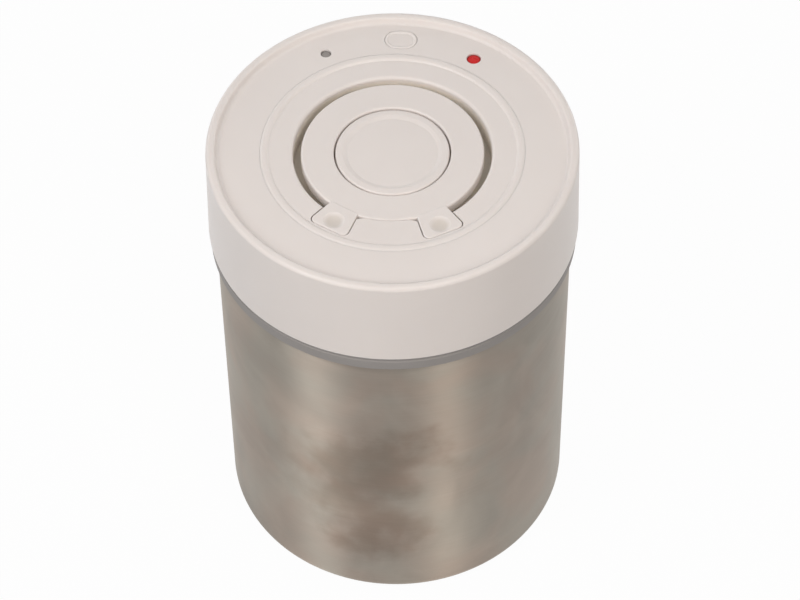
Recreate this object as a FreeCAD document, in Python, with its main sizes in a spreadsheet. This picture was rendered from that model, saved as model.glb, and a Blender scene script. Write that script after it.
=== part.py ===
import FreeCAD
import Part
import Sketcher
import math
import os
import re

# Vacuum canister with a self-pumping lid. Millimetres, +Z up, the front faces -Y,
# and the origin is the middle of the circle that the can stands on.

Vector = FreeCAD.Vector
doc = FreeCAD.newDocument("vacuum_canister")
sheet = doc.addObject("Spreadsheet::Sheet", "dims")

DIMENSIONS = {
    # shared allowances
    "cut_over": 1.0,
    "pilot_end": 1.0,
    # steel can
    "can_radius": 63.5,
    "can_wall": 0.8,
    "can_height": 141.0,
    "can_corner": 4.5,
    "foot_inset": 7.5,
    "foot_rise": 2.0,
    "foot_slope": 4.0,
    "rim_lip": 0.6,
    "rim_depth": 2.2,
    "rim_round": 0.5,
    # rim gasket
    "gasket_height": 2.4,
    "gasket_lip": 1.9,
    "gasket_drop": 4.0,
    "gasket_clear": 0.3,
    "gasket_waist": 0.4,
    "gasket_round": 0.4,
    "seat_gap": 0.1,
    # lid cover
    "lid_height": 36.6,
    "lid_lip": 1.5,
    "lid_flare": 0.9,
    "skirt_wall": 2.4,
    "lid_edge_round": 1.5,
    "lid_rim_round": 1.0,
    "dish_drop": 2.4,
    "dish_round": 1.2,
    "cover_wall": 2.4,
    # lid base tray
    "tray_gap": 0.8,
    "tray_depth": 8.4,
    "tray_wall": 2.2,
    "tray_floor": 3.2,
    "tray_round": 2.0,
    "tray_flange": 2.6,
    # centre panel
    "panel_gap": 0.06,
    "panel_drop": 2.7,
    "panel_flange": 2.0,
    "panel_wall": 3.2,
    "bead_width": 3.1,
    "bead_slope": 0.8,
    "bead_rise": 0.7,
    "bead_round": 1.2,
    "ledge_wall": 2.0,
    "slot_round": 1.2,
    "well_depth": 9.3,
    "well_wall": 2.0,
    "vent_radius": 1.5,
    "panel_lap": 0.5,
    "rest_length": 8.0,
    "rest_width": 4.0,
    "rest_inset": 5.0,
    # folding handle
    "ring_wall": 4.0,
    "ring_drop": 0.2,
    "ring_round": 0.8,
    "ring_bevel": 1.0,
    "ring_gap": 0.6,
    "ring_rest_gap": 0.3,
    "tab_angle": 28.8,
    "tab_half_angle": 10.2,
    "tab_wall": 1.7,
    "tab_rise": 0.3,
    "tab_lap": 0.8,
    "tab_round": 2.0,
    "tab_edge_round": 0.5,
    "dimple_depth": 1.0,
    "hinge_drop": 2.0,
    "pin_radius": 1.1,
    "pin_fit": 0.06,
    "pin_room": 0.3,
    "knuckle_radius": 1.9,
    "pocket_gap": 0.4,
    "pocket_spare": 1.0,
    "tub_lap": 3.0,
    "tongue_depth": 5.0,
    "notch_angle": 10.0,
    "notch_depth": 2.0,
    "notch_lap": 0.3,
    # release button and valve
    "button_drop": 0.3,
    "button_wall": 2.4,
    "button_skirt": 6.0,
    "button_skirt_wall": 1.5,
    "button_round": 0.8,
    "button_travel": 2.5,
    "button_dish_depth": 0.6,
    "button_dish_slope": 1.6,
    "slide_gap": 0.3,
    "collar_wall": 1.8,
    "stem_radius": 3.0,
    "stem_fit": 0.08,
    "stem_foot_radius": 4.6,
    "stem_foot_wall": 1.4,
    "poppet_radius": 7.0,
    "poppet_wall": 2.5,
    "valve_bore": 4.4,
    "valve_tube_wall": 1.6,
    "valve_tube_height": 6.0,
    "spring_radius": 6.0,
    "spring_wire": 0.45,
    "spring_turns": 4.0,
    # start key, lamps and board
    "start_rise": 0.2,
    "start_gap": 0.15,
    "start_lip_wall": 1.2,
    "start_travel": 0.6,
    "lens_angle": 30.3,
    "red_lens_radius": 2.5,
    "grey_lens_radius": 1.85,
    "lens_sink": 0.4,
    "lens_lip": 0.8,
    "lens_lip_wall": 0.8,
    "board_drop": 5.6,
    "board_wall": 1.6,
    "board_half_angle": 40.0,
    "led_side": 2.6,
    "led_height": 1.2,
    "switch_side": 6.0,
    "switch_height": 3.0,
    "plunger_radius": 1.6,
    "plunger_clear": 0.4,
    "standoff_angle": 13.0,
    "standoff_radius": 2.4,
    "board_screw_radius": 0.9,
    "board_screw_bite": 4.1,
    # case screws
    "boss_gap": 0.7,
    "boss_angle": 40.0,
    "boss_radius": 3.0,
    "case_screw_radius": 1.3,
    "case_screw_length": 13.0,
    "screw_fit": 0.03,
    "head_ratio": 1.9,
    "sink_extra": 0.2,
    # cells, contacts and hatches
    "nub_radius": 2.7,
    "nub_length": 1.3,
    "bay_side_gap": 0.4,
    "bay_wall": 1.4,
    "bay_height": 9.0,
    "cell_lift": 0.3,
    "contact_wall": 0.4,
    "contact_height": 11.0,
    "contact_width": 10.8,
    "contact_spring_radius": 3.2,
    "contact_spring_wire": 0.3,
    "contact_spring_turns": 1.5,
    "door_wall": 1.4,
    "door_gap": 0.2,
    "door_seal_wall": 0.6,
    "door_rib_wall": 2.0,
    "rib_gap": 0.5,
    "door_ear_radius": 3.2,
    "door_screw_radius": 1.0,
    "door_screw_length": 6.0,
    "door_boss_radius": 2.0,
    # pump
    "pump_block_height": 3.4,
    "chamber_depth": 1.2,
    "port_radius": 1.5,
    "flap_radius": 2.6,
    "flap_wall": 0.5,
    "diaphragm_wall": 1.0,
    "housing_roof": 2.0,
    "pump_screw_radius": 1.0,
    "pump_screw_floor": 0.4,
    "pump_screw_short": 0.6,
    "motor_boss_radius": 3.0,
    "shaft_radius": 1.0,
    "shaft_length": 18.0,
    "shaft_fit": 0.05,
    "crank_wall": 3.0,
    "crank_gap": 2.0,
    "crank_pin_radius": 1.5,
    "crank_pin_length": 7.0,
    "crank_throw": 0.8,
    "yoke_wall": 5.0,
    "yoke_foot_radius": 3.0,
    "yoke_clear": 0.3,
    "yoke_join": 0.5,
    "filter_radius": 6.0,
    "filter_wall": 1.5,
    "sensor_side": 9.0,
    "sensor_height": 5.0,
}

# Plan sizes of the lid and its works, as parts of the can's radius
RADIUS_RATIOS = {
    # lid rim, panel and handle
    "lid_rim_width_ratio": 0.04567,
    "dish_slope_ratio": 0.01575,
    "panel_radius_ratio": 0.72756,
    "ledge_width_ratio": 0.02362,
    "ledge_step_ratio": 0.02205,
    "slot_radius_ratio": 0.54646,
    "vent_circle_ratio": 0.4252,
    "ring_radius_ratio": 0.50315,
    "ring_inner_ratio": 0.32205,
    "tab_radius_ratio": 0.67087,
    "dimple_circle_ratio": 0.5937,
    "dimple_radius_ratio": 0.05906,
    "hinge_offset_ratio": 0.44882,
    "pin_length_ratio": 0.33543,
    "pin_end_ratio": 0.47717,
    "knuckle_end_ratio": 0.33858,
    "pocket_wall_ratio": 0.01732,
    "swing_width_ratio": 0.14173,
    "swing_length_ratio": 0.10236,
    "hinge_block_ratio": 0.05669,
    "button_radius_ratio": 0.31417,
    "button_dish_radius_ratio": 0.24882,
    # start key, lamps and board
    "start_circle_ratio": 0.83937,
    "start_length_ratio": 0.1811,
    "start_width_ratio": 0.13543,
    "start_lip_ratio": 0.0126,
    "lens_circle_ratio": 0.8252,
    "board_inner_ratio": 0.64567,
    "board_outer_ratio": 0.91339,
    "standoff_circle_ratio": 0.7874,
    # cells and hatches
    "cell_radius_ratio": 0.11181,
    "cell_length_ratio": 0.7748,
    "cell_pitch_ratio": 0.22992,
    "bay_offset_ratio": 0.54803,
    "bay_end_gap_ratio": 0.04094,
    "door_ledge_ratio": 0.0252,
    "door_ear_offset_ratio": 0.50394,
    # pump
    "pump_offset_ratio": 0.3622,
    "pump_side_ratio": 0.37795,
    "chamber_radius_ratio": 0.12598,
    "port_spread_ratio": 0.06299,
    "housing_bore_ratio": 0.1622,
    "pump_screw_spread_ratio": 0.15276,
    "motor_radius_ratio": 0.15433,
    "motor_length_ratio": 0.33858,
    "crank_radius_ratio": 0.07874,
    "yoke_width_ratio": 0.22047,
    "sensor_offset_ratio": 0.34646,
}

# Heights inside the lid, as parts of its height
HEIGHT_RATIOS = {
    "housing_height_ratio": 0.47541,
    "motor_lift_ratio": 0.23224,
    "yoke_height_ratio": 0.31148,
}

SHEET_ROWS = {**DIMENSIONS, **RADIUS_RATIOS, **HEIGHT_RATIOS}
for row, (alias, number) in enumerate(SHEET_ROWS.items(), start=1):
    sheet.set(f"A{row}", alias)
    sheet.set(f"B{row}", str(number))
    sheet.setAlias(f"B{row}", alias)
doc.recompute()

# Main radii and levels, as expressions of the sheet's values
FOOT_RADIUS = "(can_radius - foot_inset)"
LID_TOP_RADIUS = "(can_radius + lid_lip)"
LID_BOTTOM_RADIUS = f"({LID_TOP_RADIUS} + lid_flare)"
TRAY_RADIUS = "(can_radius - can_wall - tray_gap)"
BOSS_CIRCLE = f"({TRAY_RADIUS} - tray_wall - boss_radius - boss_gap)"
LID_BOTTOM = "(can_height + gasket_height)"
LID_TOP = f"({LID_BOTTOM} + lid_height)"
DISH = f"({LID_TOP} - dish_drop)"
DISH_UNDER = f"({DISH} - cover_wall)"
TRAY_BOTTOM = f"({LID_BOTTOM} - tray_depth)"
TRAY_TOP = f"({TRAY_BOTTOM} + tray_floor)"
PANEL_TOP = f"({LID_TOP} - panel_drop)"
PANEL_SEAT = f"({PANEL_TOP} - panel_flange)"
PANEL_UNDER = f"({PANEL_TOP} - panel_wall)"
WELL_FLOOR = f"({PANEL_TOP} - well_depth)"
WELL_UNDER = f"({WELL_FLOOR} - well_wall)"
RING_TOP = f"({PANEL_TOP} - ring_drop)"
TAB_TOP = f"({RING_TOP} + tab_rise)"
HINGE = f"({RING_TOP} - hinge_drop)"
BUTTON_TOP = f"({RING_TOP} - button_drop)"
BUTTON_UNDER = f"({BUTTON_TOP} - button_wall)"
BOARD_TOP = f"({DISH_UNDER} - board_drop)"
SKIRT_INNER = f"({LID_BOTTOM_RADIUS} - skirt_wall)"
LEDGE_INNER = "(panel_radius + panel_gap - ledge_width)"
COLLAR_RADIUS = "(button_radius - button_skirt_wall - slide_gap)"
BLOCK_TOP = f"({TRAY_TOP} + pump_block_height)"
DIAPHRAGM_TOP = f"({BLOCK_TOP} + diaphragm_wall)"
HOUSING_TOP = f"({DIAPHRAGM_TOP} + housing_height)"
MOTOR_AXIS = f"({DIAPHRAGM_TOP} + motor_lift)"
MOTOR_FACE = "(pump_offset + pump_side / 2)"
CRANK_FRONT = "(pump_offset + housing_bore - crank_gap - crank_wall)"
CELL_AXIS = f"({TRAY_TOP} + cell_lift + cell_radius)"
CELL_REACH = "((cell_length + nub_length) / 2)"
BAY_HALF_LENGTH = f"({CELL_REACH} + bay_end_gap)"
BAY_HALF_WIDTH = "(cell_pitch / 2 + cell_radius + bay_side_gap)"
DOOR_TOP = f"({TRAY_BOTTOM} + door_wall)"
SEAL_TOP = f"({DOOR_TOP} + door_seal_wall)"

TURN_TO = {
    "X": FreeCAD.Rotation(Vector(0, 1, 0), 90),
    "Y": FreeCAD.Rotation(Vector(1, 0, 0), -90),
    "Z": FreeCAD.Rotation(),
}
SIDES = {"left": "-1", "right": "1"}
VENTS = 6
nodes = []


def in_cells(text, prefix=""):
    """The expression with each name written as a cell, or as a ratio times what it follows."""

    def cell(match):
        ratio = match[0] + "_ratio"
        if ratio in RADIUS_RATIOS:
            return f"({prefix}{ratio} * {prefix}can_radius)"
        if ratio in HEIGHT_RATIOS:
            return f"({prefix}{ratio} * {prefix}lid_height)"
        return prefix + match[0]

    return re.sub(r"\b[a-z]\w*\b(?!\()", cell, text)


def value(text):
    """The number that an expression of the sheet's values gives now."""
    return float(sheet.evalExpression(in_cells(text)))


def bind(obj, path, text):
    obj.setExpression(path, in_cells(text, "dims."))


def place(obj, at):
    for letter, text in zip("xyz", at):
        bind(obj, f"Placement.Base.{letter}", text)


def cylinder(name, radius, height, at=("0", "0", "0"), axis="Z"):
    """A cylinder that starts at a point and runs along an axis."""
    obj = doc.addObject("Part::Cylinder", name)
    bind(obj, "Radius", radius)
    bind(obj, "Height", height)
    obj.Placement = FreeCAD.Placement(Vector(), TURN_TO[axis])
    place(obj, at)
    return obj


def box(name, size, middle, bottom):
    """A box centred on a point in plan, standing on a level."""
    obj = doc.addObject("Part::Box", name)
    for path, text in zip(("Length", "Width", "Height"), size):
        bind(obj, path, text)
    place(obj, (f"{middle[0]} - ({size[0]}) / 2", f"{middle[1]} - ({size[1]}) / 2", bottom))
    return obj


def fused(name, shapes):
    obj = doc.addObject("Part::MultiFuse", name)
    obj.Shapes = shapes
    return obj


def cut(name, base, tools):
    obj = doc.addObject("Part::Cut", name)
    obj.Base = base
    obj.Tool = tools[0] if len(tools) == 1 else fused(name + "_tools", tools)
    return obj


def group(name, shapes):
    obj = doc.addObject("Part::Compound", name)
    obj.Links = shapes
    return obj


def node(label, obj):
    """Names a finished sub-part and lists it for export."""
    obj.Label = label
    nodes.append(obj)
    return obj


def polar(radius, angle, side="1"):
    """A point in plan at an angle from the front, turned towards a side."""
    return f"({side} * ({radius}) * sin({angle}))", f"(-({radius}) * cos({angle}))"


def origin_plane(body, role):
    return next(plane for plane in body.Origin.OriginFeatures if plane.Role == role)


def outline(sketch, corners):
    """Closes straight edges through corners (x, y[, round]), each bound to the sheet.

    A rounded corner keeps a construction point where its edges would meet.
    """
    count = len(corners)
    points = [Vector(value(c[0]), value(c[1]), 0) for c in corners]
    entry = []
    leave = []
    centres = []
    for i, corner in enumerate(corners):
        back = (points[i - 1] - points[i]).normalize()
        ahead = (points[(i + 1) % count] - points[i]).normalize()
        radius = value(corner[2]) if len(corner) == 3 else 0.0
        half = back.getAngle(ahead) / 2
        reach = radius / math.tan(half)
        entry.append(points[i] + back * reach)
        leave.append(points[i] + ahead * reach)
        middle = back + ahead
        centres.append(points[i] + middle.normalize() * (radius / math.sin(half)) if radius else None)
    lines = [
        sketch.addGeometry(Part.LineSegment(leave[i], entry[(i + 1) % count])) for i in range(count)
    ]
    for i, corner in enumerate(corners):
        before = lines[i - 1]
        after = lines[i]
        if len(corner) == 2:
            sketch.addConstraint(Sketcher.Constraint("Coincident", before, 2, after, 1))
            held = (after, 1)
        else:
            start = entry[i] - centres[i]
            end = leave[i] - centres[i]
            first = math.atan2(start.y, start.x)
            last = math.atan2(end.y, end.x)
            forward = start.x * end.y - start.y * end.x > 0
            circle = Part.Circle(centres[i], Vector(0, 0, 1), value(corner[2]))
            span = (first, last) if forward else (last, first)
            arc = sketch.addGeometry(Part.ArcOfCircle(circle, *span))
            sketch.addConstraint(Sketcher.Constraint("Tangent", before, 2, arc, 1 if forward else 2))
            sketch.addConstraint(Sketcher.Constraint("Tangent", arc, 2 if forward else 1, after, 1))
            index = sketch.addConstraint(Sketcher.Constraint("Radius", arc, value(corner[2])))
            bind(sketch, f"Constraints[{index}]", corner[2])
            point = sketch.addGeometry(Part.Point(points[i]), True)
            sketch.addConstraint(Sketcher.Constraint("PointOnObject", point, 1, before))
            sketch.addConstraint(Sketcher.Constraint("PointOnObject", point, 1, after))
            held = (point, 1)
        for kind, text in (("DistanceX", corner[0]), ("DistanceY", corner[1])):
            index = sketch.addConstraint(Sketcher.Constraint(kind, -1, 1, *held, value(text)))
            bind(sketch, f"Constraints[{index}]", text)


def body_with_sketch(name, role, corners):
    body = doc.addObject("PartDesign::Body", name)
    sketch = body.newObject("Sketcher::SketchObject", name + "_sketch")
    sketch.AttachmentSupport = [(origin_plane(body, role), "")]
    sketch.MapMode = "FlatFace"
    outline(sketch, corners)
    return body, sketch


def revolved(name, corners):
    """A turned piece: corners are (radius, height[, round])."""
    body, sketch = body_with_sketch(name, "XZ_Plane", corners)
    turn = body.newObject("PartDesign::Revolution", name + "_turn")
    turn.Profile = sketch
    turn.ReferenceAxis = (sketch, ["V_Axis"])
    turn.Angle = 360
    return body


def extruded(name, corners, bottom, height):
    """A plate: corners are (x, y[, round]) in plan."""
    body, sketch = body_with_sketch(name, "XY_Plane", corners)
    pad = body.newObject("PartDesign::Pad", name + "_pad")
    pad.Profile = sketch
    bind(pad, "Length", height)
    bind(body, "Placement.Base.z", bottom)
    return body


def top_face(shape):
    """The name of the highest flat face."""
    heights = [face.CenterOfMass.z for face in shape.Faces]
    return f"Face{heights.index(max(heights)) + 1}"


def biarc(start, start_way, end, end_way):
    """Two arcs that leave one point and reach another along given unit directions."""
    chord = end - start
    both = start_way + end_way
    spread = 2 * (1 - start_way.dot(end_way))
    lean = chord.dot(both)
    reach = (-lean + math.sqrt(lean * lean + spread * chord.dot(chord))) / spread
    first_tip = start + start_way * reach
    second_tip = end - end_way * reach
    joint = (first_tip + second_tip) * 0.5
    edges = []
    for a, tip, b in ((start, first_tip, joint), (joint, second_tip, end)):
        weight = math.cos((tip - a).getAngle(b - a))
        middle = (a + tip * (2 * weight) + b) * (1 / (2 + 2 * weight))
        edges.append(Part.Arc(a, middle, b).toShape())
    return edges


def coil(name, radius, wire, turns, height):
    """A compression spring along +Z: one wire swept along quarter turns of a helix."""
    rise = (height - 2 * wire) / (2 * math.pi * turns)

    def point(angle):
        return Vector(radius * math.cos(angle), radius * math.sin(angle), wire + rise * angle)

    def way(angle):
        return Vector(-radius * math.sin(angle), radius * math.cos(angle), rise).normalize()

    edges = []
    quarters = round(4 * turns)
    for i in range(quarters):
        a = i * math.pi / 2
        b = a + math.pi / 2
        edges += biarc(point(a), way(a), point(b), way(b))
    section = Part.Wire(Part.Circle(point(0), way(0), wire).toShape())
    print(name, "least gap between turns", round(2 * math.pi * rise - 2 * wire, 2))
    return Part.Wire(edges).makePipeShell([section], True, False)


def make_can():
    inner = "can_radius - can_wall"
    rim = "can_radius + rim_lip"
    corners = [
        (FOOT_RADIUS, "0"),
        ("can_radius", "0", "can_corner"),
        ("can_radius", "can_height - rim_depth"),
        (rim, "can_height - rim_depth", "rim_round"),
        (rim, "can_height", "rim_round"),
        (inner, "can_height"),
        (inner, "can_wall", "can_corner - can_wall"),
        (FOOT_RADIUS, "can_wall"),
        (f"{FOOT_RADIUS} - foot_slope", "can_wall + foot_rise"),
        ("0", "can_wall + foot_rise"),
        ("0", "foot_rise"),
        (f"{FOOT_RADIUS} - foot_slope", "foot_rise"),
    ]
    node("canister_body", revolved("can", corners))


def make_gasket():
    inner = f"{TRAY_RADIUS} + seat_gap"
    hang_inner = "can_radius + rim_lip + gasket_clear"
    hang_bottom = "can_height - gasket_drop"
    outer = "can_radius + gasket_lip"
    waist = f"{outer} - gasket_waist"
    corners = [
        (inner, "can_height"),
        (hang_inner, "can_height"),
        (hang_inner, hang_bottom),
        (outer, hang_bottom, "gasket_round"),
        (outer, "can_height", "gasket_round"),
        (waist, "can_height + gasket_waist"),
        (waist, LID_BOTTOM),
        (inner, LID_BOTTOM),
    ]
    node("rim_gasket", revolved("gasket", corners))


def boss_places():
    """Plan points of the case screws, one in each quarter."""
    across = f"{BOSS_CIRCLE} * cos(boss_angle)"
    along = f"{BOSS_CIRCLE} * sin(boss_angle)"
    return [(f"({i} * {across})", f"({j} * {along})") for i in ("1", "-1") for j in ("1", "-1")]


def standoff_places():
    return [polar("-standoff_circle", "standoff_angle", side) for side in SIDES.values()]


def lens_place(side):
    return polar("-lens_circle", "lens_angle", f"(-1) * {side}")


def pin_start(side):
    """The point where a hinge pin starts along X."""
    x = "pin_end - pin_length" if side == "1" else "(-pin_end)"
    return x, "-hinge_offset", HINGE


def stadium(name, length, width, middle, bottom, height):
    """A plate with two round ends, long in X."""
    half = f"(({length}) - ({width})) / 2"
    parts = [box(name + "_bar", (f"({length}) - ({width})", width, height), middle, bottom)]
    for i, sign in enumerate(SIDES.values()):
        at = (f"{middle[0]} + {sign} * {half}", middle[1], bottom)
        parts.append(cylinder(f"{name}_end_{i}", f"({width}) / 2", height, at))
    return fused(name, parts)


def sector(name, radius, height, half_angle, heading, bottom):
    """A slice of a disc about a heading, in degrees from +X."""
    obj = cylinder(name, radius, height, ("0", "0", bottom))
    bind(obj, "Angle", f"2 * {half_angle}")
    bind(obj, "Placement.Rotation.Angle", f"{heading} - {half_angle}")
    return obj


def dimple(name, middle):
    """The ball that cuts a round finger dimple of a rim radius and a depth into an arm's top."""
    radius = "((dimple_radius ^ 2 + dimple_depth ^ 2) / (2 * dimple_depth))"
    ball = doc.addObject("Part::Sphere", name)
    bind(ball, "Radius", radius)
    place(ball, (*middle, f"{TAB_TOP} - dimple_depth + {radius}"))
    return ball


def screw(name, radius, length, middle, seat, up="1"):
    """A screw whose head bears on a level from below (up = 1) or from above (up = -1)."""
    shank_bottom = seat if up == "1" else f"({seat} - ({length}))"
    head_bottom = f"({seat} - {radius})" if up == "1" else seat
    shank = cylinder(name + "_shank", radius, length, (*middle, shank_bottom))
    head = cylinder(name + "_head", f"head_ratio * {radius}", radius, (*middle, head_bottom))
    return fused(name, [shank, head])


def make_cover():
    hole = "panel_radius + panel_gap"
    rim_inner = f"({LID_TOP_RADIUS} - lid_rim_width)"
    dish_edge = f"({rim_inner} - dish_slope)"
    ledge_under = f"{PANEL_SEAT} - ledge_wall"
    corners = [
        (LID_BOTTOM_RADIUS, LID_BOTTOM),
        (LID_TOP_RADIUS, LID_TOP, "lid_edge_round"),
        (rim_inner, LID_TOP, "lid_rim_round"),
        (dish_edge, DISH, "dish_round"),
        (hole, DISH),
        (hole, PANEL_SEAT),
        (LEDGE_INNER, PANEL_SEAT),
        (LEDGE_INNER, ledge_under),
        (f"{hole} + ledge_step", ledge_under),
        (f"{hole} + ledge_step", DISH_UNDER),
        (f"{LID_TOP_RADIUS} - skirt_wall", DISH_UNDER),
        (SKIRT_INNER, LID_BOTTOM),
    ]
    added = [revolved("cover_shell", corners)]
    holes = []
    boss_top = f"{DISH_UNDER} + cover_wall / 2"
    pilot = ("case_screw_radius + screw_fit", "case_screw_length + pilot_end")
    for i, (x, y) in enumerate(boss_places()):
        at = (x, y, TRAY_TOP)
        added.append(cylinder(f"cover_boss_{i}", "boss_radius", f"{boss_top} - {TRAY_TOP}", at))
        holes.append(cylinder(f"cover_pilot_{i}", *pilot, at))
    pilot = ("board_screw_radius + screw_fit", "board_screw_bite + pilot_end")
    for i, (x, y) in enumerate(standoff_places()):
        at = (x, y, BOARD_TOP)
        added.append(cylinder(f"standoff_{i}", "standoff_radius", f"{boss_top} - {BOARD_TOP}", at))
        holes.append(cylinder(f"standoff_pilot_{i}", *pilot, at))
    below = f"{DISH_UNDER} - cut_over"
    for side, radius in (("right", "red_lens_radius"), ("left", "grey_lens_radius")):
        at = (*lens_place(SIDES[side]), below)
        holes.append(cylinder(f"lens_hole_{side}", f"{radius} + seat_gap", "2 * cover_wall", at))
    grown = ("start_length + 2 * start_gap", "start_width + 2 * start_gap")
    holes.append(stadium("start_hole", *grown, ("0", "start_circle"), below, "2 * cover_wall"))
    node("lid_cover", cut("cover", fused("cover_added", added), holes))


def tab_corners(side, inner, grow, round_by):
    """Plan of a handle arm, widened all round by a distance."""
    near = "(tab_angle - tab_half_angle)"
    far = "(tab_angle + tab_half_angle)"

    def corner(radius, angle, way):
        x = f"{side} * (({radius}) * sin({angle}) + {way} * ({grow}) * cos({angle}))"
        y = f"(-({radius}) * cos({angle}) + {way} * ({grow}) * sin({angle}))"
        return x, y

    outer = f"tab_radius + {grow}"
    return [
        corner(inner, near, "(-1)"),
        corner(outer, near, "(-1)") + (round_by,),
        corner(outer, far, "1") + (round_by,),
        corner(inner, far, "1"),
    ]


def make_panel():
    wall = "slot_radius + well_wall"
    inside = f"({LEDGE_INNER} - panel_gap)"
    bead_inner = "panel_radius - bead_width"
    bead_top = f"{PANEL_TOP} + bead_rise"
    collar_top = f"({BUTTON_UNDER} - button_travel - slide_gap)"
    collar_inner = f"{COLLAR_RADIUS} - collar_wall"
    bore = "stem_radius + stem_fit"
    corners = [
        (bore, WELL_UNDER),
        (wall, WELL_UNDER),
        (wall, PANEL_UNDER),
        (inside, PANEL_UNDER),
        (inside, PANEL_SEAT),
        ("panel_radius", PANEL_SEAT),
        ("panel_radius", DISH),
        ("panel_radius - bead_slope", bead_top, "bead_round"),
        (f"{bead_inner} + bead_slope", bead_top, "bead_round"),
        (bead_inner, PANEL_TOP),
        ("slot_radius", PANEL_TOP, "slot_round"),
        ("slot_radius", WELL_FLOOR),
        (COLLAR_RADIUS, WELL_FLOOR),
        (COLLAR_RADIUS, collar_top),
        (collar_inner, collar_top),
        (collar_inner, WELL_FLOOR),
        (bore, WELL_FLOOR),
    ]
    added = [revolved("panel_disc", corners)]
    holes = []

    # Deep pockets that the arms swing down into, and the hinge's bearings
    reach = "(tab_radius * cos(tab_angle - tab_half_angle) - hinge_offset)"
    floor = f"({HINGE} - {reach} - pocket_spare)"
    tub_floor = f"({floor} - pocket_wall)"
    tub_height = f"{PANEL_UNDER} + panel_lap - {tub_floor}"
    block_floor = f"({HINGE} - 2 * pin_radius)"
    tongue_under = f"({PANEL_TOP} - tongue_depth - cut_over)"
    outer = ("pocket_gap + pocket_wall", "tab_round + pocket_gap + pocket_wall")
    tab_edge = "tab_radius * sin(tab_angle + tab_half_angle) + pocket_gap"
    for name, side in SIDES.items():
        low = tab_corners(side, "ring_radius - tub_lap", *outer)
        added.append(extruded(f"tub_low_{name}", low, tub_floor, f"{WELL_FLOOR} - {tub_floor}"))
        high = tab_corners(side, "slot_radius + well_wall / 2", *outer)
        added.append(extruded(f"tub_high_{name}", high, tub_floor, tub_height))
        space = tab_corners(side, "ring_radius - tub_lap / 2", "pocket_gap", "tab_round + pocket_gap")
        holes.append(extruded(f"pocket_{name}", space, floor, f"{PANEL_TOP} + cut_over - {floor}"))
        middle = (f"({side} * ({tab_edge} - swing_width / 2))", "(-hinge_offset - swing_length / 4)")
        swing_tub = ("swing_width + 2 * pocket_wall", "swing_length + 2 * pocket_wall", tub_height)
        added.append(box(f"swing_tub_{name}", swing_tub, middle, tub_floor))
        swing_space = ("swing_width", "swing_length", f"{PANEL_UNDER} - {floor}")
        holes.append(box(f"swing_space_{name}", swing_space, middle, floor))
        middle = (f"({side} * ({tab_edge} + hinge_block / 2))", "(-hinge_offset)")
        block = ("hinge_block", "3 * knuckle_radius", f"{PANEL_UNDER} + panel_lap - {block_floor}")
        added.append(box(f"hinge_block_{name}", block, middle, block_floor))
        bearing = ("pin_radius + pin_fit / 2", "pin_length", pin_start(side), "X")
        holes.append(cylinder(f"hinge_bore_{name}", *bearing))
        notch = [
            polar("ring_radius - notch_lap", "notch_angle", side),
            polar("ring_radius - notch_lap", "tab_angle", side),
            polar("ring_radius + notch_depth", "tab_angle - tab_half_angle", side),
        ]
        holes.append(extruded(f"notch_{name}", notch, tongue_under, "tongue_depth + 2 * cut_over"))

    # Fixed tongue between the arms, a rest under the ring, and the vents of the well
    tongue = sector("tongue_sector", "slot_radius + well_wall / 2", "tongue_depth", "tab_angle", "-90",
                    f"{PANEL_TOP} - tongue_depth")
    core = cylinder("tongue_core", "ring_radius + ring_gap", "tongue_depth + 2 * cut_over",
                    ("0", "0", tongue_under))
    added.append(cut("tongue", tongue, [core]))
    rest_size = ("rest_length", "rest_width", "well_depth - ring_drop - ring_wall - ring_rest_gap")
    added.append(box("ring_rest", rest_size, ("0", "ring_radius - rest_inset"), WELL_FLOOR))
    for i in range(VENTS):
        at = (*polar("vent_circle", f"({i} * 360 / {VENTS})"), f"{WELL_UNDER} - cut_over")
        holes.append(cylinder(f"vent_{i}", "vent_radius", "2 * well_wall", at))
    node("centre_panel", cut("panel", fused("panel_added", added), holes))


def make_handle():
    ring_under = f"({RING_TOP} - ring_wall)"
    corners = [
        ("ring_inner + ring_bevel", ring_under),
        ("ring_radius", ring_under),
        ("ring_radius", RING_TOP, "ring_round"),
        ("ring_inner", RING_TOP, "ring_round"),
        ("ring_inner", f"{ring_under} + ring_bevel"),
    ]
    added = [revolved("ring_band", corners)]
    holes = []
    pins = []
    for name, side in SIDES.items():
        plan = tab_corners(side, "ring_radius - tab_lap", "0", "tab_round")
        arm = extruded(f"arm_{name}", plan, f"{TAB_TOP} - tab_wall", "tab_wall")
        doc.recompute()
        pad = arm.Tip
        edge = arm.newObject("PartDesign::Fillet", f"arm_edge_{name}")
        edge.Base = (pad, [top_face(pad.Shape)])
        bind(edge, "Radius", "tab_edge_round")
        added.append(arm)
        at = ("pin_end - pin_length" if side == "1" else "(-knuckle_end)", "-hinge_offset", HINGE)
        length = "knuckle_end - (pin_end - pin_length)"
        added.append(cylinder(f"knuckle_{name}", "knuckle_radius", length, at, "X"))
        at = ("pin_end - pin_length - pin_room" if side == "1" else "(-pin_end)", "-hinge_offset", HINGE)
        bore = ("pin_radius + pin_fit", "pin_length + pin_room", at, "X")
        holes.append(cylinder(f"knuckle_bore_{name}", *bore))
        middle = polar("dimple_circle", "tab_angle", side)
        holes.append(dimple(f"dimple_{name}", middle))
        pins.append(cylinder(f"pin_{name}", "pin_radius", "pin_length", pin_start(side), "X"))
    node("handle_ring", cut("handle", fused("handle_added", added), holes))
    node("handle_pins", group("pins", pins))


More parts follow.
